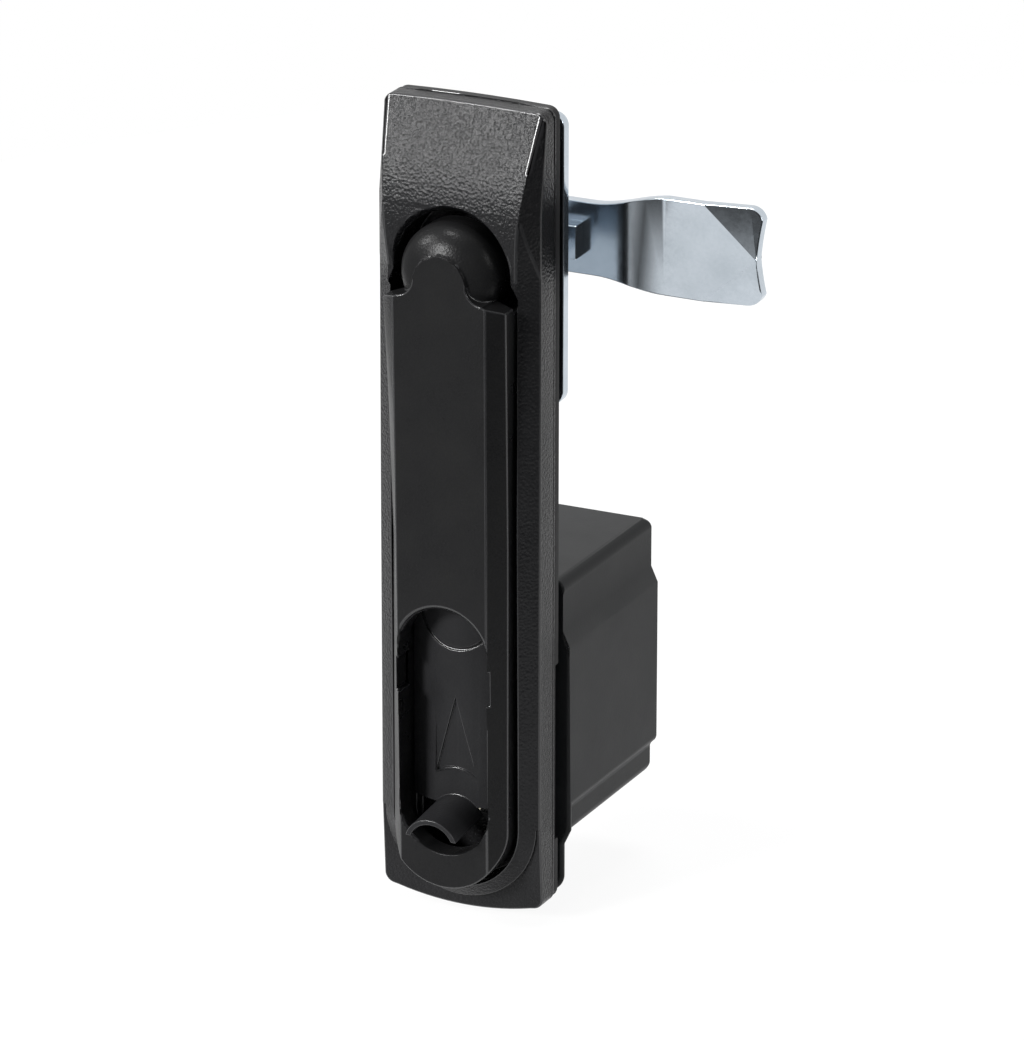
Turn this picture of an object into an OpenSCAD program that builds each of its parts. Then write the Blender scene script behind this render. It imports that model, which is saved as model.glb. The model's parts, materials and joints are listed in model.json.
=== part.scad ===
// Swing-handle latch for a cabinet door: dish with a lift-out handle, a sliding
// dust cover over a profile half cylinder, a rear lock housing and one turning cam.
// X is to the viewer's right, Y is into the door, Z is up. The origin is the
// centre of the dish on the face of the door, and all sizes are in millimetres.

/* [Dish] */
// Width of the dish
dish_w = 38; // [37:0.5:42]
// Distance from the turning axis to the top of the dish
top_margin = 36; // [35.5:0.1:38]
// Distance from the centre of the round bottom end to the bottom of the dish
bottom_margin = 21.2; // [20.8:0.1:23]
// Corner radius of the dish outline
dish_corner_r = 2.5; // [2:0.5:4]
// Rise of the arched top edge
dish_top_arch = 0.3; // [0.2:0.1:1]
// Rise of the arched bottom edge
dish_bottom_arch = 2.1; // [1:0.1:2.2]
// Depth of the side wall in front of the door
dish_edge = 9.5; // [8.5:0.1:10.5]
// Depth of the side wall at the top end
dish_top_edge = 7.1; // [6:0.1:8]
// Height of the front at the apex of the arch
dish_apex = 15.3; // [14.5:0.1:16]
// Height of the front at the lip of the recess
dish_lip = 12.8; // [12:0.1:13.4]
// Height of the lip at the bottom end
dish_lip_low = 12; // [11.4:0.1:12.6]
// Thickness of the floor of the dish
floor_t = 1.6; // [1.2:0.1:1.8]
// Thickness of the gasket
gasket_t = 2; // [1.6:0.1:2.2]
// Radius of the arch round the hub
arch_r = 13.5; // [13.4:0.1:13.9]
// Half width of the handle recess
recess_hw = 14.8; // [14.7:0.1:15.2]

/* [Handle] */
// Distance from the turning axis to the centre of the round bottom end
handle_len = 124.8; // [124:0.1:125.2]
// Radius of the bottom end
handle_end_r = 13.6; // [13.2:0.1:13.9]
// Half width at the shoulder
shoulder_hw = 14.4; // [14:0.1:14.5]
// Height of the flat face at the shoulder
face_top = 19.9; // [19:0.1:20.6]
// Height of the flat face at the bottom end
face_low = 17.6; // [17:0.1:18.4]
// Half width of the flat face
face_hw = 10.7; // [10.2:0.1:11.2]
// Radius of the hub
hub_r = 11.3; // [11:0.1:11.9]
// Height of the dome on the hub
dome_h = 6.5; // [5.6:0.1:6.6]
// Side wall of the handle shell
handle_wall = 1.7; // [1.4:0.1:1.7]
// Angle to which the handle lifts out
lift_max = 25; // [15:1:25]
// Radius of the cross pin
pin_r = 1.5; // [1.2:0.1:1.8]
// Depth of the cross pin in front of the door
pin_y = 9; // [8.8:0.1:9.2]
// Half width of the lock opening
opening_hw = 10.5; // [9.5:0.1:10.6]
// Distance from the axis of the cylinder up to the top of the lock opening
opening_up = 26.3; // [25:0.1:27]
// Distance from the axis of the cylinder down to the bottom of the lock opening
opening_down = 30; // [29:0.1:30.4]

/* [Dust cover] */
// Radius of the curved face
cover_r = 23.5; // [22:0.5:26]
// Half width of the cover
cover_hw = 11.5; // [11.2:0.1:11.6]
// Height of the crest in front of the door
cover_crest = 11.9; // [11.8:0.1:12]
// Thickness of the cover
cover_t = 1.5; // [1.2:0.1:1.6]
// Distance from the axis of the cylinder up to the top of the cover
cover_up = 34.5; // [33:0.5:35]
// Distance from the axis of the cylinder down to the bottom of the cover
cover_down = 20.8; // [20:0.2:22]
// How far the cover slides up
cover_travel = 35; // [32:1:36]
// Height of the thumb tab in front of the door
tab_front = 24.6; // [22:0.2:25]
// Radius of the thumb tab
tab_r = 5.8; // [5.4:0.1:6.5]

/* [Lock] */
// Height of the axis of the cylinder above the centre of the round bottom end
lock_up = 24.3; // [24:0.1:24.8]
// Radius of the cylinder
cyl_r = 8.5; // [8.3:0.1:8.5]
// Width of the cylinder below its round part
cyl_web = 10; // [9.6:0.1:10]
// Total height of the profile
cyl_h = 33; // [32.5:0.1:33.2]
// Length of the cylinder
cyl_len = 40; // [39.5:0.5:40.5]
// Front face of the cylinder in front of the door
cyl_front = 8; // [7.6:0.1:8.1]
// Radius of the plug
plug_r = 6.5; // [6:0.1:6.8]
// Reach of the bit
bit_r = 14.8; // [14.4:0.1:14.9]
// Travel of the catch
catch_travel = 4; // [3.6:0.1:4]

/* [Lock housing] */
// Half width of the housing
housing_hw = 18.2; // [17.8:0.1:18.6]
// Extra half width beside the cylinder
housing_bulge = 1.6; // [1.2:0.1:1.8]
// Rear face of the housing behind the door
housing_rear = 49.3; // [48:0.5:54]
// Wall of the housing
housing_wall = 1.6; // [1.3:0.1:1.8]
// Thickness of the front flange
flange_t = 2; // [1.6:0.1:2.4]
// Thickest door panel that is clamped
clamp_t = 3.5; // [3.2:0.1:4]

/* [Cam and plate] */
// Width of the mounting plate
plate_w = 36; // [34:0.5:37]
// Height of the mounting plate
plate_h = 64.8; // [62:0.2:66]
// Thickness of the mounting plate
plate_t = 2.7; // [2:0.1:3]
// Front face of the cam behind the door
cam_y = 20; // [18:0.5:24]
// Thickness of the cam
cam_t = 2.7; // [2:0.1:3]
// Height of the neck of the cam
cam_neck = 16.3; // [15:0.1:18]
// Height of the blade of the cam
cam_blade = 21.8; // [19:0.2:24]
// Reach of the cam from the turning axis
cam_reach = 55.2; // [50:0.2:60]
// Set back of the blade
cam_offset = 1.8; // [1:0.1:3]
// Width of the square of the spindle
square_w = 8; // [7:0.5:8.4]
// Radius of the spindle
spindle_r = 6; // [5.8:0.1:6.2]
// Angle of a full turn of the cam
cam_turn = 90; // [80:5:90]

/* [Clearances] */
// Clearance of a turning fit
run_gap = 0.05; // [0.03:0.01:0.08]
// Clearance of a sliding or loose fit
slide_gap = 0.3; // [0.2:0.05:0.35]

/* [Hidden] */
$fn = 96;
e = 0.01;
black = [0.07, 0.07, 0.08];
coal = [0.12, 0.12, 0.13];
zinc = [0.74, 0.77, 0.82];
brass = [0.78, 0.66, 0.36];

half_w = dish_w / 2;
dish_h = top_margin + handle_len + bottom_margin;
spindle_z = dish_h / 2 - top_margin;
lock_z = spindle_z - handle_len + lock_up;
z_top = dish_h / 2;
z_low = -dish_h / 2;
dish_back = -gasket_t;
floor_y = dish_back - floor_t;
end_z = spindle_z - handle_len;
recess_end_r = handle_end_r + 1.2;
pin_at = -pin_y;
handle_rear = floor_y - 0.8;
knuckle_r = pin_r + 3.1;
cheek = 6.4;

// A flat shape in X and Z, thickened from y0 to y1
module slab(y0, y1) {
    translate([0, y1, 0]) rotate([90, 0, 0]) linear_extrude(y1 - y0) children();
}

// A flat shape in Y and Z, thickened from x0 to x1
module side_slab(x0, x1) {
    translate([x0, 0, 0]) rotate([90, 0, 90]) linear_extrude(x1 - x0) children();
}

// A round bar along Y at (x, z)
module bar(y0, y1, r, x = 0, z = 0) {
    translate([x, y1, z]) rotate([90, 0, 0]) cylinder(h = y1 - y0, r = r);
}

// A cone along Y, with radius r0 at y0 and r1 at y1
module cone(y0, y1, r0, r1, x = 0, z = 0) {
    translate([x, y1, z]) rotate([90, 0, 0]) cylinder(h = y1 - y0, r1 = r1, r2 = r0);
}

module block(x0, x1, y0, y1, z0, z1) {
    translate([x0, y0, z0]) cube([x1 - x0, y1 - y0, z1 - z0]);
}

// Rounded rectangle, centred on X
module round_rect(w, z0, z1, r) {
    translate([-w / 2, z0 + r]) square([w, z1 - z0 - 2 * r]);
    translate([-w / 2 + r, z0]) square([w - 2 * r, z1 - z0]);
    for (x = [-1, 1], z = [z0 + r, z1 - r]) translate([x * (w / 2 - r), z]) circle(r);
}

// Slot with round ends, centred on X, from z0 to z1
module slot(hw, z0, z1) {
    translate([-hw, z0 + hw]) square([2 * hw, z1 - z0 - 2 * hw]);
    for (z = [z0 + hw, z1 - hw]) translate([0, z]) circle(hw);
}

// Pan-head screw along Y: head from y to y + head_h, shank of length len toward -Y
module screw_y(x, z, y, r, len, head_r, head_h) {
    difference() {
        union() {
            bar(y - len, y + e, r, x, z);
            cone(y, y + head_h, head_r, head_r * 0.86, x, z);
        }
        bar(y + head_h * 0.45, y + head_h + 1, head_r * 0.42, x, z, $fn = 6);
    }
}

// Points of an arc from angle a0 to a1
function arc(cx, cz, r, a0, a1, n) =
    [for (i = [0:n]) [cx + r * cos(a0 + (a1 - a0) * i / n), cz + r * sin(a0 + (a1 - a0) * i / n)]];

// Outline of the dish: rounded corners and arched ends
module dish_plan(inset = 0) {
    r = dish_corner_r;
    c = dish_w / 2 - inset - r;
    rt = (c * c + dish_top_arch * dish_top_arch) / (2 * dish_top_arch);
    rb = (c * c + dish_bottom_arch * dish_bottom_arch) / (2 * dish_bottom_arch);
    zt = z_top - dish_top_arch - inset;
    zb = z_low + dish_bottom_arch + inset;
    at = asin(c / rt) - 0.5;
    ab = asin(c / rb) - 0.5;
    polygon(concat(
        arc(c, zt - r, r, 0, 84, 7),
        arc(0, zt + dish_top_arch - rt, rt, 90 - at, 90 + at, 14),
        arc(-c, zt - r, r, 96, 180, 7),
        arc(-c, zb + r, r, 180, 258, 7),
        arc(0, zb - dish_bottom_arch + rb, rb, 270 - ab, 270 + ab, 14),
        arc(c, zb + r, r, 282, 360, 7)));
}

// Plan of the recess that takes the handle
module recess_plan() {
    translate([0, spindle_z]) circle(arch_r);
    translate([0, end_z]) circle(recess_end_r);
    polygon([[-arch_r, spindle_z], [-recess_hw, spindle_z - 4], [-recess_end_r, end_z],
        [recess_end_r, end_z], [recess_hw, spindle_z - 4], [arch_r, spindle_z]]);
}

// Heights above the lock axis at which the housing outline changes
lock_top = lock_z + 27.8;
lock_low = lock_z - 32.6;
tab_low = lock_z - 43.9;
bulge_end = lock_z + 15.4;
bulge_top = lock_z + 11;
bulge_low = lock_z - 29.2;

// Outline of the flange of the lock housing, drawn in by d, with its top edge at top
module lock_plan(d = 0, top = lock_top) {
    hw = housing_hw - d;
    hb = hw + housing_bulge;
    round_rect(2 * hw, lock_low + d, top, 2.5);
    polygon([[-hw, lock_low + d], [-hb, bulge_low + d], [-hb, bulge_top - d],
        [-hw, bulge_end - d], [hw, bulge_end - d], [hb, bulge_top - d],
        [hb, bulge_low + d], [hw, lock_low + d]]);
}

// Profile of the cylinder, grown by g
module lock_profile(g = 0) {
    translate([0, lock_z]) circle(cyl_r + g);
    translate([-cyl_web / 2 - g, lock_z + cyl_r - cyl_h + cyl_web / 2])
        square([cyl_web + 2 * g, cyl_h - cyl_r - cyl_web / 2]);
    translate([0, lock_z + cyl_r - cyl_h + cyl_web / 2]) circle(cyl_web / 2 + g);
}

upper_w = 25;
upper_half = 29;
hook_top = lock_z + 24.5;
catch_slot_top = hook_top + 1.5;
catch_slot_low = lock_z + 9.9;
collar_top = catch_slot_top + 1.2;
catch_hw = 4;
// from the side of the dish in to the cut-out of the door, and on in to the collar
gasket_rim = 1.7;
seal_w = 1.5;
seal_inset = housing_hw + housing_bulge - half_w + gasket_rim;
lower_inset = seal_inset + seal_w;
seal_top = lock_z + 18;

// One station of the ridge of the dish, a slice across Z
module dish_station(z, flat_hw, front, edge) {
    translate([0, 0, z]) linear_extrude(e) polygon([[-half_w, dish_back], [-half_w, -edge],
        [-flat_hw, -front], [flat_hw, -front], [half_w, -edge], [half_w, dish_back]]);
}

stations = [
    [z_top, half_w - 1, dish_top_edge, dish_top_edge - 0.6],
    [spindle_z + 14.6, recess_hw + 1.1, dish_apex, dish_edge],
    [spindle_z, recess_hw + 0.2, dish_lip + 0.8, dish_edge],
    [spindle_z - 5, recess_hw, dish_lip, dish_edge],
    [end_z + 64, recess_hw, dish_lip - 0.1, dish_edge],
    [end_z, recess_end_r, dish_lip_low, dish_edge - 0.2]];

module dish_body() {
    intersection() {
        slab(-20, dish_back) dish_plan();
        union() {
            for (i = [0:4]) hull() for (s = [stations[i], stations[i + 1]])
                dish_station(s[0], s[1], s[2], s[3]);
            side_slab(-half_w - 1, half_w + 1) polygon([[dish_back, end_z + 1],
                [0.2 - dish_edge, end_z + 1], [1.7 - dish_edge, z_low - 1],
                [dish_back, z_low - 1]]);
            cone(-dish_lip_low, -dish_edge + 0.2, recess_end_r, recess_end_r + 3.5, 0, end_z);
        }
    }
}

// Dish: the moulding that lies on the door, with two collars through its cut-outs
module dish() color(black) difference() {
    union() {
        dish_body();
        slab(dish_back - e, clamp_t) round_rect(upper_w, spindle_z - upper_half,
            spindle_z + upper_half, 3);
        slab(dish_back - e, clamp_t) lock_plan(lower_inset, collar_top);
        bar(dish_back - e, clamp_t, 3.4, 0, tab_low + 5.4);
    }
    slab(-20, floor_y) recess_plan();
    cone(-16, -13, arch_r + 1.9, arch_r, 0, spindle_z);
    bar(floor_y - 1, clamp_t + 1, spindle_r + run_gap, 0, spindle_z);
    slab(floor_y - 1, clamp_t + 1) lock_profile(0.15);
    block(-catch_hw - slide_gap, catch_hw + slide_gap, floor_y - 1, clamp_t + 1,
        catch_slot_low, catch_slot_top);
    for (z = [-1, 1]) bar(floor_y + 0.6, clamp_t + 1, 2 + run_gap, 0, spindle_z + z * 23.5);
    bar(floor_y + 0.5, clamp_t + 1, 1.75 + run_gap, 0, tab_low + 5.4);
    // fine groove above the flange of the dish
    difference() {
        slab(dish_back - 1.3, dish_back - 1.05) dish_plan(-1);
        slab(dish_back - 1.4, dish_back - 1) dish_plan(0.25);
    }
}

// Gasket between the dish and the door
module gasket() color(coal) difference() {
    slab(dish_back, 0) dish_plan(0.15);
    slab(dish_back - 1, 1) round_rect(upper_w + 0.2, spindle_z - upper_half - 0.1,
        spindle_z + upper_half + 0.1, 3.1);
    slab(dish_back - 1, 1) lock_plan(lower_inset - 0.1, collar_top + 0.1);
    slab(dish_back - 1, 1) intersection() {
        polygon(seal_points(seal_inset - 0.1));
        translate([-30, lock_low]) square([60, seal_top + 0.1 - lock_low]);
    }
    bar(dish_back - 1, 1, 3.5, 0, tab_low + 5.4);
    for (x = [-1, 1]) translate([x * (half_w + 0.2), 0, 0])
        block(-1, 1, dish_back + 0.5, 1, bulge_low, bulge_top);
}

// Front of the flat face of the handle at height z
function face_at(z) = face_top + (face_low - face_top) * (spindle_z - 5 - z) / 133;

module handle_station(z, outer_hw, outer_y, flat_hw) {
    f = face_at(z);
    translate([0, 0, z]) linear_extrude(e) polygon([[-outer_hw, handle_rear], [-outer_hw, -outer_y],
        [-flat_hw, -f], [flat_hw, -f], [outer_hw, -outer_y], [outer_hw, handle_rear]]);
}

grip = [
    [spindle_z + 6, shoulder_hw, 17.1, face_hw + 0.2],
    [spindle_z - 4.6, shoulder_hw, 17.1, face_hw + 0.2],
    [spindle_z - 30, shoulder_hw - 0.45, 15.5, face_hw + 0.1],
    [spindle_z - 60, handle_end_r, 14.1, face_hw],
    [end_z + 4.8, handle_end_r, 14, face_hw - 0.3],
    [end_z - handle_end_r - 1, handle_end_r, 14, face_hw - 0.3]];

bell_r = 6;
fillet_r = 4.2;
fillet_x = 10.18;
fillet_z = spindle_z - 0.4;

// Shoulder line of the handle plate, lowered by d
module shoulder_plan(d = 0) {
    polygon([[-shoulder_hw - 1, end_z], [-shoulder_hw - 1, spindle_z - 6.5 + d],
        [-fillet_x, spindle_z - 4.6 + d], [fillet_x, spindle_z - 4.6 + d],
        [shoulder_hw + 1, spindle_z - 6.5 + d], [shoulder_hw + 1, end_z]]);
    intersection() {
        translate([0, end_z]) circle(handle_end_r);
        translate([-20, end_z - 20]) square([40, 20 + e]);
    }
}

// Bell-shaped top of the plate, with an upright wall down to the dome
module bell() {
    difference() {
        union() {
            bar(-21, -13.2, bell_r + 0.2, 0, spindle_z - 1);
            slab(-21, -13.2) polygon([[-fillet_x, spindle_z - 5], [-fillet_x, spindle_z - 0.7],
                [fillet_x, spindle_z - 0.7], [fillet_x, spindle_z - 5]]);
        }
        for (s = [-1, 1]) bar(-22, -13, fillet_r - 0.2, s * fillet_x, fillet_z);
    }
}

module handle_blank() {
    intersection() {
        union() for (i = [0:4]) hull() for (s = [grip[i], grip[i + 1]])
            handle_station(s[0], s[1], s[2], s[3]);
        union() {
            bell();
            slab(-21, -13.2) shoulder_plan(0.1);
            slab(-13.2 - e, handle_rear) intersection() {
                shoulder_plan(0);
                translate([-20, end_z - 20]) square([40, 20 + handle_len - 7]);
            }
        }
    }
}

// Hub with its dome, cut off at the rear so that it clears the floor when lifted
module hub() {
    difference() {
        bar(-13.3 - e, handle_rear, hub_r, 0, spindle_z);
        translate([0, pin_at, spindle_z]) rotate([lift_max, 0, 0])
            block(-20, 20, pin_y + floor_y - slide_gap, 20, -5, 40);
    }
    translate([0, -13.3, spindle_z]) rotate([90, 0, 0]) rotate_extrude()
        polygon(concat([[0, -e]],
            [for (a = [0:7.5:82.5]) [hub_r * pow(cos(a), 0.85), dome_h * pow(sin(a), 0.92)]],
            [[0, dome_h]]));
}

cavity_hw = handle_end_r - handle_wall;
cavity_y = -cover_crest - 0.5;
cavity_top = lock_z + cover_up + cover_travel + 2;
opening_low = lock_z - opening_down;
opening_top = lock_z + opening_up;
rail_hw = cover_hw - 1.3;
rail_y = -cover_crest + cover_r - sqrt(pow(cover_r - cover_t, 2) - cover_hw * cover_hw) + slide_gap;
leg_hw = 3;

// Handle: shell with the hub, the lock opening and the rails of the cover
module handle() color(black) union() {
    difference() {
        union() {
            handle_blank();
            hub();
        }
        block(-cheek, cheek, pin_at - knuckle_r - 0.6, 0, spindle_z - 8.3, spindle_z + 8.3);
        translate([-20, pin_at, spindle_z]) rotate([0, 90, 0]) cylinder(h = 40, r = pin_r + e);
        // hollow behind the face
        slab(cavity_y, 0) intersection() {
            union() {
                translate([0, end_z]) circle(cavity_hw);
                translate([-cavity_hw, end_z]) square([2 * cavity_hw, handle_len]);
            }
            translate([-20, end_z - 20]) square([40, cavity_top - end_z + 20]);
        }
        // lock opening with a light chamfer on its rim
        slab(-21, cavity_y + e) slot(opening_hw, opening_low, opening_top);
        for (z = [opening_low + opening_hw, opening_top - opening_hw])
            cone(-face_at(z) - 0.2, -face_at(z) + 0.6, opening_hw + 0.8, opening_hw, 0, z);
        // finger notches in the side walls
        block(-opening_hw - 1, opening_hw + 0.5, -21, cavity_y + e, lock_z + 5.9, lock_z + 13.6);
    }
    // rails that carry the cover
    for (s = [-1, 1]) block(s > 0 ? rail_hw : -cavity_hw - e, s > 0 ? cavity_hw + e : -rail_hw,
        rail_y, rail_y + 1.3, end_z - 3, cavity_top);
    // cross bar that carries the leg
    block(-cavity_hw - e, cavity_hw + e, rail_y, handle_rear, hook_top - 3.5, hook_top);
}

// Leg behind the cross bar of the handle, with the foot that the catch holds
module catch_leg() color(zinc) {
    block(-leg_hw, leg_hw, handle_rear, 5, hook_top - 2.2, hook_top);
    block(-leg_hw, leg_hw, 3, 5, hook_top - 4.5, hook_top - 2.2 + e);
}

// Cross pin through the hub
module pivot_pin() color(zinc)
    translate([-hub_r + 0.9, pin_at, spindle_z]) rotate([0, 90, 0])
        cylinder(h = 2 * hub_r - 1.8, r = pin_r);

// Receiver head on the floor of the dish, with the knuckle for the cross pin
module receiver() color(zinc) difference() {
    union() {
        translate([-cheek + 0.4, pin_at, spindle_z]) rotate([0, 90, 0])
            cylinder(h = 2 * cheek - 0.8, r = knuckle_r);
        intersection() {
            bar(pin_at, floor_y, spindle_r, 0, spindle_z);
            block(-cheek + 0.4, cheek - 0.4, pin_at, floor_y, spindle_z - 8, spindle_z + 8);
        }
    }
    translate([-20, pin_at, spindle_z]) rotate([0, 90, 0]) cylinder(h = 40, r = pin_r + run_gap);
    bar(floor_y - 3, floor_y + 1, 2.2 + run_gap, 0, spindle_z);
}

// Curved dust cover with its arrow, its round groove and the thumb tab
module dust_cover() color(coal) {
    axis_y = -cover_crest + cover_r;
    difference() {
        intersection() {
            translate([0, axis_y, lock_z - cover_down]) linear_extrude(cover_down + cover_up)
                difference() {
                    circle(cover_r, $fn = 200);
                    circle(cover_r - cover_t, $fn = 200);
                }
            block(-cover_hw, cover_hw, -cover_crest - 1, 0, lock_z - cover_down - 1,
                lock_z + cover_up + 1);
        }
        // round groove and arrow, whose left half is cut deeper than its right half
        for (cut = [[0.55, 0], [0.55, -1], [0.35, 1]]) difference() {
            slab(-cover_crest - 2, 0) translate([0, lock_z]) {
                if (cut[1] == 0) translate([0, 24.3]) difference() {
                    circle(9.4);
                    circle(8.7);
                }
                else polygon([[0, 4], [cut[1] * 4.9, -13.9], [cut[1] * 2.5, -12.4], [0, -11.9]]);
            }
            translate([0, axis_y, z_low]) cylinder(h = dish_h, r = cover_r - cut[0], $fn = 200);
        }
        // scoop above the thumb tab
        bar(-cover_crest - 2, -cover_crest + 0.6, 8.6, 0, lock_z - 21.2);
    }
    // thumb tab: an arched strip that leans down towards its front edge
    translate([0, -cover_crest, lock_z - 18.6]) rotate([5.6, 0, 0]) intersection() {
        difference() {
            bar(-tab_front + cover_crest, 1, tab_r + 0.5, 0, -tab_r - 0.5);
            bar(-tab_front + cover_crest - 1, 2, tab_r - 0.6, 0, -tab_r - 0.5);
        }
        block(-tab_r - 1, tab_r + 1, -tab_front, 1, -4.4, 2);
    }
}

bit_y = 17;
bit_end = 27;
cyl_back = cyl_len - cyl_front;
web_screw_z = lock_z - 19;
web_screw_r = 2.5;

// Profile half cylinder with the gap for its bit
module cylinder_body() color(brass) difference() {
    slab(-cyl_front, cyl_back) lock_profile();
    bar(-cyl_front - 1, cyl_back - 2, plug_r + run_gap, 0, lock_z);
    bar(bit_y, bit_end, cyl_r + slide_gap, 0, lock_z);
    translate([-20, (bit_y + bit_end) / 2, web_screw_z]) rotate([0, 90, 0])
        cylinder(h = 40, r = web_screw_r + run_gap);
}

// Plug with its keyway
module cylinder_plug() color(brass) difference() {
    bar(-cyl_front, cyl_back - 2.3, plug_r, 0, lock_z);
    block(-0.7, 0.7, -cyl_front - 1, 12, lock_z - 5, lock_z + 2.2);
    block(-1.4, 1.4, -cyl_front - 1, 12, lock_z - 3.2, lock_z - 1.4);
}

// Bit that pushes the catch
module cylinder_bit() color(zinc) difference() {
    intersection() {
        union() {
            bar(bit_y + slide_gap, bit_end - slide_gap, cyl_r - 0.3, 0, lock_z);
            block(0, 20, bit_y + slide_gap, bit_end - slide_gap, lock_z - 4, lock_z + 4);
        }
        bar(bit_y, bit_end, bit_r, 0, lock_z);
    }
    bar(bit_y - 1, bit_end + 1, plug_r + e, 0, lock_z);
}

// Screw that fixes the cylinder through the left wall of the housing
module cylinder_screw() color(zinc) difference() {
    translate([-housing_hw - housing_bulge, (bit_y + bit_end) / 2, web_screw_z]) rotate([0, 90, 0]) {
        translate([0, 0, -0.5]) cylinder(h = housing_hw + housing_bulge + cyl_web / 2, r = web_screw_r);
        translate([0, 0, -1.6]) cylinder(h = 1.6, r1 = 3.8, r2 = 4.4);
    }
    translate([-housing_hw - housing_bulge - 2, (bit_y + bit_end) / 2, web_screw_z])
        rotate([0, 90, 0]) cylinder(h = 1.6, r = 1.9, $fn = 6);
}

// Catch that the bit lifts in front of the foot of the handle's leg
module catch_slide() color(zinc) {
    block(-catch_hw, catch_hw, -0.4, 2.4, lock_z + 12.3, hook_top - 6.6);
    block(-catch_hw, catch_hw, 2.4 - e, bit_end, lock_z + 12.3, lock_z + 15.3);
}

// Outline of the box of the lock housing, drawn in by d
module box_plan(d = 0) {
    hw = housing_hw - d;
    hb = hw + housing_bulge;
    round_rect(2 * hw, lock_z - 31.5 + d, lock_z + 28.5 - d, 2.5);
    polygon([[-hw, lock_z - 24.6 + d], [-hb, lock_z - 23.2 + d], [-hb, lock_z + 13.6 - d],
        [-hw, lock_z + 17.1 - d], [hw, lock_z + 17.1 - d], [hb, lock_z + 13.6 - d],
        [hb, lock_z - 23.2 + d], [hw, lock_z - 24.6 + d]]);
}

flange_rear = clamp_t + flange_t;

// Side view of the box with rounded rear corners
module box_side(d = 0) {
    r = 2.5 - d / 2;
    y1 = housing_rear - d;
    z0 = lock_z - 31.5 + d;
    z1 = lock_z + 28.5 - d;
    translate([0, z0]) square([y1 - r, z1 - z0]);
    translate([y1 - r - e, z0 + r]) square([r + e, z1 - z0 - 2 * r]);
    for (z = [z0 + r, z1 - r]) translate([y1 - r, z]) circle(r);
}

// Lock housing: hollow box with a flange and a screw tab
module lock_housing() color(black) {
    difference() {
        union() {
            slab(clamp_t, flange_rear) {
                lock_plan();
                round_rect(2 * housing_hw, tab_low, lock_low + 8, 4);
            }
            intersection() {
                slab(clamp_t + e, housing_rear) box_plan();
                side_slab(-30, 30) box_side();
            }
        }
        intersection() {
            slab(flange_rear, housing_rear) box_plan(housing_wall);
            side_slab(-30, 30) box_side(housing_wall);
        }
        slab(clamp_t - 1, flange_rear + 1) lock_plan(lower_inset + 2, lock_top - 6);
        block(-catch_hw - 2, catch_hw + 2, clamp_t - 1, flange_rear + 1, lock_z, catch_slot_top);
        bar(0, 20, 1.75 + run_gap, 0, tab_low + 5.4);
        translate([-housing_hw - 10, (bit_y + bit_end) / 2, web_screw_z]) rotate([0, 90, 0])
            cylinder(h = 20, r = web_screw_r + run_gap);
    }
    // guides of the catch, hung from the top wall
    for (s = [-1, 1]) block(s > 0 ? catch_hw + slide_gap : -catch_hw - slide_gap - 2,
        s > 0 ? catch_hw + slide_gap + 2 : -catch_hw - slide_gap, flange_rear - e, bit_y - 1,
        lock_z + 9.6, lock_z + 28.5 - housing_wall + 0.2);
}

module housing_screw() color(zinc)
    screw_y(0, tab_low + 5.4, flange_rear, 1.75, flange_rear - floor_y - 0.8, 3.4, 2.2);

// Corner points of the sealing strip, drawn in by d
function seal_points(d) = let (hw = housing_hw - d, hb = hw + housing_bulge)
    concat([for (s = [-1, 1]) each [
        [s * hw, s < 0 ? lock_low + d : lock_top - d],
        [s * hw, s < 0 ? lock_low + d + e : bulge_end - d],
        [s * hb, s < 0 ? bulge_low + d : bulge_top - d],
        [s * hb, s < 0 ? bulge_top - d : bulge_low + d],
        [s * hw, s < 0 ? bulge_end - d : lock_low + d + e],
        [s * hw, s < 0 ? lock_top - d : lock_low + d]]]);

// Sealing strip round the sides and the bottom of the collar
module lock_seal() color(coal) difference() {
    slab(0.5, 1.7) polygon(seal_points(seal_inset));
    slab(0, 2) polygon(seal_points(lower_inset - 0.05));
    block(-30, 30, 0, 2, seal_top, lock_top);
}

sleeve_r = 10;
stop_hub_r = 7.6;
sleeve_end = cam_y - 4.4;
plate_rear = clamp_t + plate_t;
bolt_z = 23.5;

// Mounting plate that clamps the dish to the door
module mounting_plate() color(zinc) difference() {
    slab(clamp_t, plate_rear) round_rect(plate_w, spindle_z - plate_h / 2, spindle_z + plate_h / 2, 3);
    bar(0, 20, spindle_r + 1, 0, spindle_z);
    for (z = [-1, 1]) bar(0, 20, 2 + run_gap, 0, spindle_z + z * bolt_z);
}

module plate_screw(s) color(zinc)
    screw_y(0, spindle_z + s * bolt_z, plate_rear, 2, plate_rear - floor_y - 1, 4, 2.6);
module plate_screw_top() plate_screw(1);
module plate_screw_bottom() plate_screw(-1);

// Sleeve behind the plate, with a rib at each end of the turn
module spindle_sleeve() color(zinc) difference() {
    union() {
        bar(plate_rear, sleeve_end, sleeve_r, 0, spindle_z);
        bar(plate_rear, plate_rear + 2, sleeve_r + 2.5, 0, spindle_z);
        for (a = [cam_turn / 2 - 90, cam_turn / 2 + 90])
            translate([0, 0, spindle_z]) rotate([0, a, 0]) intersection() {
                block(stop_hub_r + slide_gap, sleeve_r, sleeve_end - e, cam_y - 0.6, -2, 2);
                bar(0, 30, sleeve_r);
            }
    }
    bar(0, 30, spindle_r + run_gap, 0, spindle_z);
}

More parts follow.
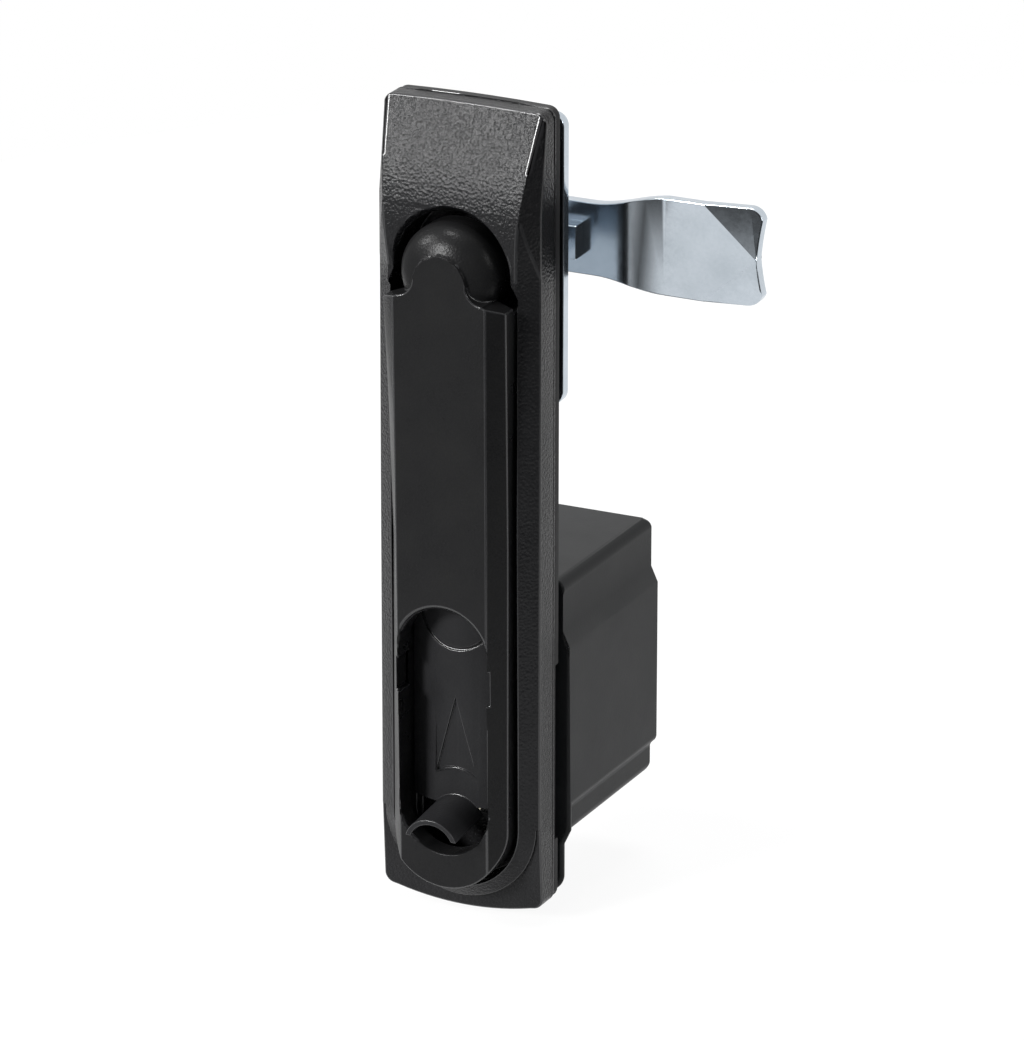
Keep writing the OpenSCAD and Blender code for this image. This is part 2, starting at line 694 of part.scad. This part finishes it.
// Spindle: round journal, square end and front tenon
module spindle() color(zinc) difference() {
    union() {
        bar(floor_y + 0.1, cam_y - 4.1, spindle_r, 0, spindle_z);
        bar(floor_y - 2.7, floor_y + 1, 2.2, 0, spindle_z);
        block(-square_w / 2, square_w / 2, cam_y - 5, cam_y + cam_t - 0.1,
            spindle_z - square_w / 2, spindle_z + square_w / 2);
    }
    bar(cam_y - 10, cam_y + cam_t + 1, 2.5 + e, 0, spindle_z);
}

// Stop on the square of the spindle, in front of the cam
module cam_stop() color(zinc) difference() {
    union() {
        bar(cam_y - 4, cam_y, stop_hub_r, 0, spindle_z);
        block(0, 15, cam_y - 4, cam_y, spindle_z - 3.8, spindle_z + 3.8);
    }
    block(-square_w / 2 - e, square_w / 2 + e, 0, 30, spindle_z - square_w / 2 - e,
        spindle_z + square_w / 2 + e);
}

bend_x = 25.3;
blade_x = 33;
neck_x = 17;
fold_angle = 41.3;
fold_x = 47.7;
fold_z = 5.9;
fold_tilt = 14;

// Outline of the cam: neck, smooth flare and blade with a hollow tip
module cam_plan() {
    n = cam_neck / 2;
    b = cam_blade / 2;
    flare = [for (i = [0:10]) [neck_x + i * 1.7, n + (b - n) * (1 - cos(18 * i)) / 2]];
    r = 3.6;
    circle(n);
    translate([0, -n]) square([neck_x + e, cam_neck]);
    polygon(concat(flare, [for (i = [10:-1:0]) [flare[i][0], -flare[i][1]]]));
    difference() {
        union() {
            translate([blade_x, -b]) square([cam_reach - blade_x - r, cam_blade]);
            translate([blade_x, -b + r]) square([cam_reach - blade_x, cam_blade - 2 * r]);
            for (s = [-1, 1]) translate([cam_reach - r, s * (b - r)]) circle(r);
        }
        translate([cam_reach + 59.3, 0]) circle(60, $fn = 240);
    }
}

// Cam: joggled strip with both corners of its tip bent back
module cam() color(zinc) difference() {
    translate([0, 0, spindle_z]) union() {
        difference() {
            intersection() {
                slab(cam_y - 1, cam_y + 12) cam_plan();
                translate([0, 0, -20]) linear_extrude(40) polygon([[-20, cam_y], [neck_x, cam_y],
                    [bend_x, cam_y + cam_offset * 0.25], [blade_x, cam_y + cam_offset],
                    [80, cam_y + cam_offset], [80, cam_y + cam_offset + cam_t],
                    [blade_x, cam_y + cam_offset + cam_t], [bend_x, cam_y + cam_offset * 0.25 + cam_t],
                    [neck_x, cam_y + cam_t], [-20, cam_y + cam_t]]);
            }
            for (s = [0, 1]) mirror([0, 0, s]) translate([fold_x, cam_y, fold_z])
                rotate([0, fold_angle, 0]) block(-20, 20, -5, 20, 0, 30);
        }
        for (s = [0, 1]) mirror([0, 0, s]) intersection() {
            slab(cam_y - 1, cam_y + 12) cam_plan();
            translate([fold_x, cam_y + cam_offset, fold_z]) rotate([0, fold_angle, 0])
                rotate([-fold_tilt, 0, 0]) block(-20, 20, 0, cam_t, -0.3, 20);
            translate([fold_x, cam_y, fold_z]) rotate([0, fold_angle, 0])
                block(-20, 20, -5, 20, -e, 30);
        }
    }
    block(-square_w / 2 - e, square_w / 2 + e, 0, 30, spindle_z - square_w / 2 - e,
        spindle_z + square_w / 2 + e);
}

module cam_washer() color(zinc) difference() {
    bar(cam_y + cam_t, cam_y + cam_t + 1.5, 7, 0, spindle_z);
    bar(0, 40, 2.7, 0, spindle_z);
}

module cam_screw() color(zinc) {
    bar(cam_y - 9, cam_y + cam_t + 1.6, 2.5, 0, spindle_z);
    bar(cam_y + cam_t + 1.5, cam_y + cam_t + 5, 4.6, 0, spindle_z, $fn = 6);
}

dish();
gasket();
handle();
pivot_pin();
receiver();
spindle();
spindle_sleeve();
mounting_plate();
plate_screw_top();
plate_screw_bottom();
cam_stop();
cam();
cam_washer();
cam_screw();
dust_cover();
cylinder_body();
cylinder_plug();
cylinder_bit();
cylinder_screw();
catch_slide();
catch_leg();
lock_housing();
housing_screw();
lock_seal();
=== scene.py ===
# Swing-handle latch: finishes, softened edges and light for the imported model
import json
import math

import bmesh
import bpy
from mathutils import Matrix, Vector


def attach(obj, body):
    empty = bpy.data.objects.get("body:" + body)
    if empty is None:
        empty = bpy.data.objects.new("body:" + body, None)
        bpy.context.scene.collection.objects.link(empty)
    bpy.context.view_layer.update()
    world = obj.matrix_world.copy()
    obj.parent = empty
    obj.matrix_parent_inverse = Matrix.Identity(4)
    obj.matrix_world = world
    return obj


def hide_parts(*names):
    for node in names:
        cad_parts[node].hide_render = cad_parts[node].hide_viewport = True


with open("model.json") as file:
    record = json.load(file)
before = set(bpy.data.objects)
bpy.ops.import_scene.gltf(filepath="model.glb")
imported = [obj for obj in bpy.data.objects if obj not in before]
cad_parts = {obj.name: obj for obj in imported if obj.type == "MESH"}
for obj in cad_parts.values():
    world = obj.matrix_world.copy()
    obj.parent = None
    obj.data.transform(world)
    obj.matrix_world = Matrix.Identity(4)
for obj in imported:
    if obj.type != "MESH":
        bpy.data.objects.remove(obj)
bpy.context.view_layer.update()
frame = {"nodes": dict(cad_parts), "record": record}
scene = bpy.context.scene
scene.view_settings.view_transform = "Standard"
print("frame loaded:", len(frame["nodes"]), "nodes")

camera = {
    "azimuth": 25.97,  # degrees round from the front
    "elevation": 19.84,
    "distance": 1.8,  # metres from the middle of the dish
    "lens": 295.6,  # millimetres
    "shift": (0.0316, -0.0204),
    "clipEnd": 20,
}


def placeCamera(spec):
    az, el = math.radians(spec["azimuth"]), math.radians(spec["elevation"])
    away = Vector((math.sin(az) * math.cos(el), -math.cos(az) * math.cos(el), math.sin(el)))
    data = bpy.data.cameras.new("camera")
    data.lens = spec["lens"]
    data.sensor_fit = "HORIZONTAL"
    data.shift_x, data.shift_y = spec["shift"]
    data.clip_end = spec["clipEnd"]
    cam = bpy.data.objects.new("camera", data)
    cam.location = away * spec["distance"]
    cam.rotation_euler = (-away).to_track_quat("-Z", "Y").to_euler()
    scene.collection.objects.link(cam)
    scene.camera = cam


placeCamera(camera)
print("camera placed")


def toLinear(code):  # sRGB hex colour to linear values
    parts = [int(code[i : i + 2], 16) / 255 for i in (1, 3, 5)]
    return [c / 12.92 if c <= 0.04045 else ((c + 0.055) / 1.055) ** 2.4 for c in parts] + [1.0]


def addNode(tree, kind, settings=None, inputs=None):
    node = tree.nodes.new(kind)
    for key, value in (settings or {}).items():
        setattr(node, key, value)
    for key, value in (inputs or {}).items():
        if isinstance(value, bpy.types.NodeSocket):
            tree.links.new(value, node.inputs[key])
        else:
            node.inputs[key].default_value = value
    return node


def emptyMaterial(name):
    material = bpy.data.materials.new(name)
    material.use_nodes = True
    material.node_tree.nodes.clear()
    return material, material.node_tree


# grain and fine are widths of the moulded grain in millimetres, and depth is its height
mouldedNylon = {
    # dish: glass-filled polyamide from a spark-eroded tool, a fine leather grain with a soft sheen
    "dish": {"dark": "#121213", "light": "#1A1A1B", "rough": 0.24, "grain": 0.62, "depth": 0.12,
             "fine": 0.2, "sheen": 0.13},
    # handle: the same polyamide with a finer and flatter grain, so it looks more matt
    "handle": {"dark": "#121213", "light": "#191919", "rough": 0.29, "grain": 0.5, "depth": 0.03,
               "fine": 0.18, "sheen": 0.075},
    # edges that hands and the tool polish: hardly any grain and glossier; their lighter tone is a
    # painted highlight, a narrow bright line along the rounded edges
    "edge": {"dark": "#1E1E1F", "light": "#262627", "rough": 0.22, "grain": 0.4, "depth": 0.002,
             "fine": 0.2, "sheen": 0.45},
    # dust cover: smooth moulded polyamide, satin
    "cover": {"dark": "#181819", "light": "#202021", "rough": 0.36, "grain": 0.5, "depth": 0.03,
              "fine": 0.2, "sheen": 0.08},
    # rear housing: plain moulded polyamide, matt and nearly smooth
    "housing": {"dark": "#131415", "light": "#1B1C1D", "rough": 0.36, "grain": 0.6, "depth": 0.006,
                "fine": 0.2, "sheen": 0.09},
}
nylonPattern = {
    "cellSoftness": 0.6,
    "fineShare": 0.45,  # height of the fine grain on top of the cells
    "patchScale": 90.0,  # broad patches of tone and gloss, waves per metre
    "patchRange": (0.3, 0.7),
    "smoother": 0.03,  # the patches vary the roughness by this much
    "rougher": 0.04,
    "index": 1.53,  # refractive index of polyamide
}


def makeMouldedNylon(name, spec):
    material, tree = emptyMaterial(name)
    place = addNode(tree, "ShaderNodeTexCoord").outputs["Object"]
    cells = addNode(tree, "ShaderNodeTexVoronoi", {"feature": "SMOOTH_F1"},
                    {"Vector": place, "Scale": 1000 / spec["grain"],
                     "Smoothness": nylonPattern["cellSoftness"], "Randomness": 1.0})
    fine = addNode(tree, "ShaderNodeTexNoise", None,
                   {"Vector": place, "Scale": 1000 / spec["fine"], "Detail": 3.0, "Roughness": 0.6})
    patches = addNode(tree, "ShaderNodeTexNoise", None,
                      {"Vector": place, "Scale": nylonPattern["patchScale"], "Detail": 4.0,
                       "Roughness": 0.55})
    height = addNode(tree, "ShaderNodeMath", {"operation": "MULTIPLY_ADD"},
                     {0: fine.outputs["Fac"], 1: nylonPattern["fineShare"],
                      2: cells.outputs["Distance"]})
    bump = addNode(tree, "ShaderNodeBump", None,
                   {"Strength": 1.0, "Distance": spec["depth"] / 1000, "Height": height.outputs[0]})
    tone = addNode(tree, "ShaderNodeMix", {"data_type": "RGBA"},
                   {0: patches.outputs["Fac"], 6: toLinear(spec["dark"]), 7: toLinear(spec["light"])})
    gloss = addNode(tree, "ShaderNodeMapRange", None,
                    {"Value": patches.outputs["Fac"], "From Min": nylonPattern["patchRange"][0],
                     "From Max": nylonPattern["patchRange"][1],
                     "To Min": spec["rough"] - nylonPattern["smoother"],
                     "To Max": spec["rough"] + nylonPattern["rougher"]})
    shader = addNode(tree, "ShaderNodeBsdfPrincipled", None,
                     {"Base Color": tone.outputs[2], "Roughness": gloss.outputs[0],
                      "Normal": bump.outputs[0], "IOR": nylonPattern["index"],
                      "Specular IOR Level": spec["sheen"]})
    addNode(tree, "ShaderNodeOutputMaterial", None, {"Surface": shader.outputs[0]})
    return material


# mottle and depth are the width and height of the plating's pattern in millimetres
platedMetal = {
    # zinc-plated steel: bright bluish chromate film over rolled sheet, with faint mottling
    "zinc": {"dark": "#B8C1C9", "light": "#C5CDD5", "rough": 0.14, "mottle": 0.9, "depth": 0.002},
    # zinc-plated screws and pins, a little duller
    "screw": {"dark": "#A3A9AF", "light": "#C2C7CC", "rough": 0.28, "mottle": 0.5, "depth": 0.003},
    # nickel-plated brass of the lock cylinder, matt
    "nickel": {"dark": "#B5AF9E", "light": "#CFC9B8", "rough": 0.3, "mottle": 0.6, "depth": 0.003},
}
platedPattern = {
    "broadScale": 120.0,  # waves per metre
    "mottleShare": 0.5,
    "shareRange": (0.5, 1.0),
    "roughSpread": 0.04,
}


def makePlatedMetal(name, spec):
    material, tree = emptyMaterial(name)
    place = addNode(tree, "ShaderNodeTexCoord").outputs["Object"]
    spangle = addNode(tree, "ShaderNodeTexNoise", None,
                      {"Vector": place, "Scale": 1000 / spec["mottle"], "Detail": 5.0, "Roughness": 0.7})
    broad = addNode(tree, "ShaderNodeTexNoise", None,
                    {"Vector": place, "Scale": platedPattern["broadScale"], "Detail": 3.0,
                     "Roughness": 0.5})
    both = addNode(tree, "ShaderNodeMath", {"operation": "MULTIPLY_ADD"},
                   {0: spangle.outputs["Fac"], 1: platedPattern["mottleShare"],
                    2: broad.outputs["Fac"]})
    share = addNode(tree, "ShaderNodeMapRange", None,
                    {"Value": both.outputs[0], "From Min": platedPattern["shareRange"][0],
                     "From Max": platedPattern["shareRange"][1]})
    tone = addNode(tree, "ShaderNodeMix", {"data_type": "RGBA"},
                   {0: share.outputs[0], 6: toLinear(spec["dark"]), 7: toLinear(spec["light"])})
    gloss = addNode(tree, "ShaderNodeMapRange", None,
                    {"Value": share.outputs[0],
                     "To Min": spec["rough"] + platedPattern["roughSpread"],
                     "To Max": spec["rough"] - platedPattern["roughSpread"]})
    bump = addNode(tree, "ShaderNodeBump", None,
                   {"Strength": 1.0, "Distance": spec["depth"] / 1000,
                    "Height": spangle.outputs["Fac"]})
    shader = addNode(tree, "ShaderNodeBsdfPrincipled", None,
                     {"Base Color": tone.outputs[2], "Metallic": 1.0,
                      "Roughness": gloss.outputs[0], "Normal": bump.outputs[0]})
    addNode(tree, "ShaderNodeOutputMaterial", None, {"Surface": shader.outputs[0]})
    return material


# seals: moulded EPDM rubber, matt and slightly porous, with pores in millimetres
rubberSeal = {"dark": "#0D0D0E", "light": "#161617", "rough": 0.62, "pores": 0.3, "depth": 0.02,
              "sheen": 0.25}


def makeRubber(name, spec):
    material, tree = emptyMaterial(name)
    place = addNode(tree, "ShaderNodeTexCoord").outputs["Object"]
    pores = addNode(tree, "ShaderNodeTexNoise", None,
                    {"Vector": place, "Scale": 1000 / spec["pores"], "Detail": 4.0, "Roughness": 0.6})
    tone = addNode(tree, "ShaderNodeMix", {"data_type": "RGBA"},
                   {0: pores.outputs["Fac"], 6: toLinear(spec["dark"]), 7: toLinear(spec["light"])})
    bump = addNode(tree, "ShaderNodeBump", None,
                   {"Strength": 1.0, "Distance": spec["depth"] / 1000,
                    "Height": pores.outputs["Fac"]})
    shader = addNode(tree, "ShaderNodeBsdfPrincipled", None,
                     {"Base Color": tone.outputs[2], "Roughness": spec["rough"],
                      "Normal": bump.outputs[0], "Specular IOR Level": spec["sheen"]})
    addNode(tree, "ShaderNodeOutputMaterial", None, {"Surface": shader.outputs[0]})
    return material


nylonDish = makeMouldedNylon("leatherGrainNylon", mouldedNylon["dish"])
nylonHandle = makeMouldedNylon("fineGrainNylon", mouldedNylon["handle"])
# finish of the rounded edges: real gloss, and a lighter tone that is a painted highlight
nylonEdgeHighlight = makeMouldedNylon("handledNylonEdgePaintedHighlight", mouldedNylon["edge"])
nylonCover = makeMouldedNylon("satinNylon", mouldedNylon["cover"])
nylonHousing = makeMouldedNylon("plainNylon", mouldedNylon["housing"])
zincPlate = makePlatedMetal("brightZincPlate", platedMetal["zinc"])
zincScrew = makePlatedMetal("zincPlatedScrews", platedMetal["screw"])
nickelBrass = makePlatedMetal("nickelPlatedBrass", platedMetal["nickel"])
sealRubber = makeRubber("mouldedRubber", rubberSeal)
print("finishes made")

finishOf = {
    "dish": nylonDish, "handle": nylonHandle, "dust_cover": nylonCover,
    "lock_housing": nylonHousing, "gasket": sealRubber, "lock_seal": sealRubber,
    "mounting_plate": zincPlate, "cam": zincPlate, "cam_stop": zincPlate,
    "spindle_sleeve": zincPlate, "spindle": zincPlate, "receiver": zincPlate,
    "catch_slide": zincPlate, "catch_leg": zincScrew, "pivot_pin": zincScrew,
    "plate_screw_top": zincScrew, "plate_screw_bottom": zincScrew, "cam_washer": zincScrew,
    "cam_screw": zincScrew, "cylinder_bit": zincScrew, "cylinder_screw": zincScrew,
    "housing_screw": zincScrew, "cylinder_body": nickelBrass, "cylinder_plug": nickelBrass,
}

# radius of the moulded or sheared edge in millimetres, and the least corner in degrees that gets
# it; where a face runs to a point of less than the taper, its edges stay sharp; the crown lies at
# this height in millimetres, reaches this far up and down, and bends what is in front of this depth
softEdges = {
    "dish": {"radius": 0.4, "corner": 14, "segments": 3, "polishedAndHighlit": nylonEdgeHighlight,
             "crown": {"at": 69.6, "reach": 9, "strips": 6, "slope": 0.5, "frontOf": -9.5}},
    "handle": {"radius": 0.3, "corner": 20, "segments": 3, "polishedAndHighlit": nylonEdgeHighlight},
    "dust_cover": {"radius": 0.15, "corner": 28, "segments": 2, "polishedAndHighlit": nylonEdgeHighlight},
    "lock_housing": {"radius": 0.9, "corner": 40, "segments": 4, "taper": 35},
    "gasket": {"radius": 0.25, "corner": 28, "segments": 2},
    "lock_seal": {"radius": 0.2, "corner": 28, "segments": 2},
    "mounting_plate": {"radius": 0.3, "corner": 28, "segments": 2},
    "cam": {"radius": 0.3, "corner": 28, "segments": 2},
    "cam_stop": {"radius": 0.3, "corner": 28, "segments": 2},
}
softening = {
    "weld": 1e-6,  # metres
    "flatAngle": 0.6,  # degrees between facets that are one flat face
    "room": 1.6,  # a face is at least this many radii deep beside an edge that is rounded
    "smoothAngle": 34,  # degrees up to which the shading runs on over an edge
    "flatWeight": 90,  # how strongly broad faces pull the shading at their edges
}


def crownFront(bm, crown):  # the straight front runs into the sloping head in one long curve
    middle, reach = crown["at"] / 1000, crown["reach"] / 1000
    for step in range(-crown["strips"], crown["strips"] + 1):
        level = middle + reach * step / crown["strips"]
        bmesh.ops.bisect_plane(bm, geom=bm.verts[:] + bm.edges[:] + bm.faces[:],
                               dist=softening["weld"], plane_co=(0, 0, level), plane_no=(0, 0, 1))
    for vert in bm.verts:
        near = reach - abs(vert.co.z - middle)
        if near > 0 and vert.co.y < crown["frontOf"] / 1000:
            vert.co.y += crown["slope"] * near * near / (4 * reach)


def softenNode(node, spec, finish):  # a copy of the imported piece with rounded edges
    mesh = bpy.data.meshes.new(node + "Soft")
    bm = bmesh.new()
    bm.from_mesh(frame["nodes"][node].data)
    bmesh.ops.remove_doubles(bm, verts=bm.verts, dist=softening["weld"])
    bmesh.ops.dissolve_limit(bm, angle_limit=math.radians(softening["flatAngle"]),
                             verts=bm.verts, edges=bm.edges)
    if "crown" in spec:
        crownFront(bm, spec["crown"])
    radius = spec["radius"] / 1000
    sharp = [e for e in bm.edges if len(e.link_faces) == 2
             and e.calc_face_angle(0) > math.radians(spec["corner"])
             and all(f.calc_area() > softening["room"] * radius * e.calc_length()
                     for f in e.link_faces)
             and all(min(l.calc_angle(), l.link_loop_next.calc_angle())
                     > math.radians(spec.get("taper", 0)) for l in e.link_loops)]
    rounded = bmesh.ops.bevel(bm, geom=sharp, offset=radius, affect="EDGES",
                              segments=spec["segments"], profile=0.5, material=-1,
                              clamp_overlap=False)["faces"]
    print(node, "edges rounded:", len(sharp))
    # the rounded faces take the edge finish, whose lighter tone is a painted highlight
    for face in rounded:
        face.material_index = 1 if "polishedAndHighlit" in spec else 0
    bmesh.ops.remove_doubles(bm, verts=bm.verts, dist=softening["weld"])
    for face in bm.faces:
        face.smooth = True
    bm.to_mesh(mesh)
    bm.free()
    mesh.set_sharp_from_angle(angle=math.radians(softening["smoothAngle"]))
    mesh.materials.append(finish)
    if "polishedAndHighlit" in spec:
        mesh.materials.append(spec["polishedAndHighlit"])
    piece = bpy.data.objects.new(node + "Soft", mesh)
    scene.collection.objects.link(piece)
    # broad faces look flat up to their edges
    flat = piece.modifiers.new("flatFaces", "WEIGHTED_NORMAL")
    flat.keep_sharp = True
    flat.weight = softening["flatWeight"]
    return piece


# which body of model.json each node belongs to
bodyOf = {node: body for body, nodes in frame["record"]["behaviour"]["bodies"].items()
          for node in nodes}
for node, finish in finishOf.items():
    if node in softEdges:
        piece = softenNode(node, softEdges[node], finish)
        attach(piece, bodyOf[node])
        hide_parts(node)
    else:
        data = frame["nodes"][node].data
        data.materials.clear()
        data.materials.append(finish)
print("pieces finished")

# places, sizes and drops in metres
studio = {
    "floorDrop": 0.0925,  # just under the dish
    "floorTone": "#F4F4F4",
    "floorMiddle": (0, 0.23),  # the pale round table ends a hand's length in front of the latch
    "floorRadius": 0.4,
    "darkSide": 54,  # degrees round from the front: the unlit end of the room, seen only in mirrors
    "unlitEdge": (0.3, 0.52),  # cosines between which the light end turns into the unlit one
    "unlitLevel": 0.05,
    "leftWallEdge": (0.55, 0.85),
    "leftWallLevel": 0.35,
    "white": "#FFFFFF",
    "airTone": "#C9CDD2",  # light from all round on surfaces that aren't mirrors
    "airLevel": 0.45,
    "floorGlow": 0.93,  # the rest of the floor's tone shows the shadow
    "key": {"at": (-1.5, -0.8, 1.0), "size": 0.4, "watts": 27},
    "shine": {"at": (-0.84, -1.68, 0.75), "size": 0.5, "watts": 62},
    "top": {"at": (-0.45, -0.5, 1.85), "size": 0.3, "watts": 16},
    "fill": {"at": (1.9, 0.2, 0.9), "size": 0.6, "watts": 8},
    "back": {"at": (-0.2, 0.9, 1.9), "size": 0.9, "watts": 36},
}


def seenRays(tree, rays):  # rays that show the background: direct, mirrored and through glass
    first = addNode(tree, "ShaderNodeMath", {"operation": "MAXIMUM"},
                    {0: rays.outputs["Is Camera Ray"], 1: rays.outputs["Is Glossy Ray"]})
    both = addNode(tree, "ShaderNodeMath", {"operation": "MAXIMUM"},
                   {0: first.outputs[0], 1: rays.outputs["Is Transmission Ray"]})
    return both.outputs[0]


def makeFloor(spec):
    mesh = bpy.data.meshes.new("floor")
    bm = bmesh.new()
    bmesh.ops.create_circle(bm, cap_ends=True, segments=96, radius=spec["floorRadius"])
    bmesh.ops.translate(bm, verts=bm.verts, vec=(*spec["floorMiddle"], -spec["floorDrop"]))
    bm.to_mesh(mesh)
    bm.free()
    material, tree = emptyMaterial("paleFloor")
    rays = addNode(tree, "ShaderNodeLightPath")
    paper = addNode(tree, "ShaderNodeBsdfDiffuse", None, {"Color": toLinear(spec["floorTone"])})
    white = addNode(tree, "ShaderNodeEmission", None,
                    {"Color": toLinear(spec["white"]), "Strength": 1.0})
    mixed = addNode(tree, "ShaderNodeMixShader", None,
                    {0: spec["floorGlow"], 1: paper.outputs[0], 2: white.outputs[0]})
    shown = addNode(tree, "ShaderNodeMixShader", None,
                    {0: seenRays(tree, rays), 1: paper.outputs[0], 2: mixed.outputs[0]})
    addNode(tree, "ShaderNodeOutputMaterial", None, {"Surface": shown.outputs[0]})
    mesh.materials.append(material)
    floor = bpy.data.objects.new("floor", mesh)
    scene.collection.objects.link(floor)


def addLamp(name, spec):
    data = bpy.data.lights.new(name, "AREA")
    data.shape = "DISK"
    data.size = spec["size"]
    data.energy = spec["watts"]
    lamp = bpy.data.objects.new(name, data)
    lamp.location = spec["at"]
    lamp.rotation_euler = (-Vector(spec["at"])).to_track_quat("-Z", "Y").to_euler()
    scene.collection.objects.link(lamp)


def sideLevel(tree, lookout, towards, edge, level):  # brightness of the room on one of its sides
    facing = addNode(tree, "ShaderNodeVectorMath", {"operation": "DOT_PRODUCT"},
                     {0: lookout, 1: towards})
    return addNode(tree, "ShaderNodeMapRange", {"interpolation_type": "SMOOTHSTEP"},
                   {"Value": facing.outputs["Value"], "From Min": edge[0], "From Max": edge[1],
                    "To Min": 1.0, "To Max": level})


def makeWorld(spec):
    world = bpy.data.worlds.new("studioWorld")
    world.use_nodes = True
    scene.world = world
    tree = world.node_tree
    tree.nodes.clear()
    rays = addNode(tree, "ShaderNodeLightPath")
    soft = addNode(tree, "ShaderNodeBackground", None,
                   {"Color": toLinear(spec["airTone"]), "Strength": spec["airLevel"]})
    lookout = addNode(tree, "ShaderNodeTexCoord").outputs["Generated"]
    turn = math.radians(spec["darkSide"])
    unlit = sideLevel(tree, lookout, (math.sin(turn), -math.cos(turn), 0),
                      spec["unlitEdge"], spec["unlitLevel"])
    wall = sideLevel(tree, lookout, (-1, 0, 0), spec["leftWallEdge"], spec["leftWallLevel"])
    room = addNode(tree, "ShaderNodeMath", {"operation": "MULTIPLY"},
                   {0: unlit.outputs[0], 1: wall.outputs[0]})
    level = addNode(tree, "ShaderNodeMath", {"operation": "MAXIMUM"},
                    {0: room.outputs[0], 1: rays.outputs["Is Camera Ray"]})
    white = addNode(tree, "ShaderNodeBackground", None,
                    {"Color": toLinear(spec["white"]), "Strength": level.outputs[0]})
    mixed = addNode(tree, "ShaderNodeMixShader", None,
                    {0: seenRays(tree, rays), 1: soft.outputs[0], 2: white.outputs[0]})
    addNode(tree, "ShaderNodeOutputWorld", None, {"Surface": mixed.outputs[0]})


makeFloor(studio)
for lampName in ("key", "shine", "top", "fill", "back"):
    addLamp(lampName, studio[lampName])
makeWorld(studio)
print("studio lit")
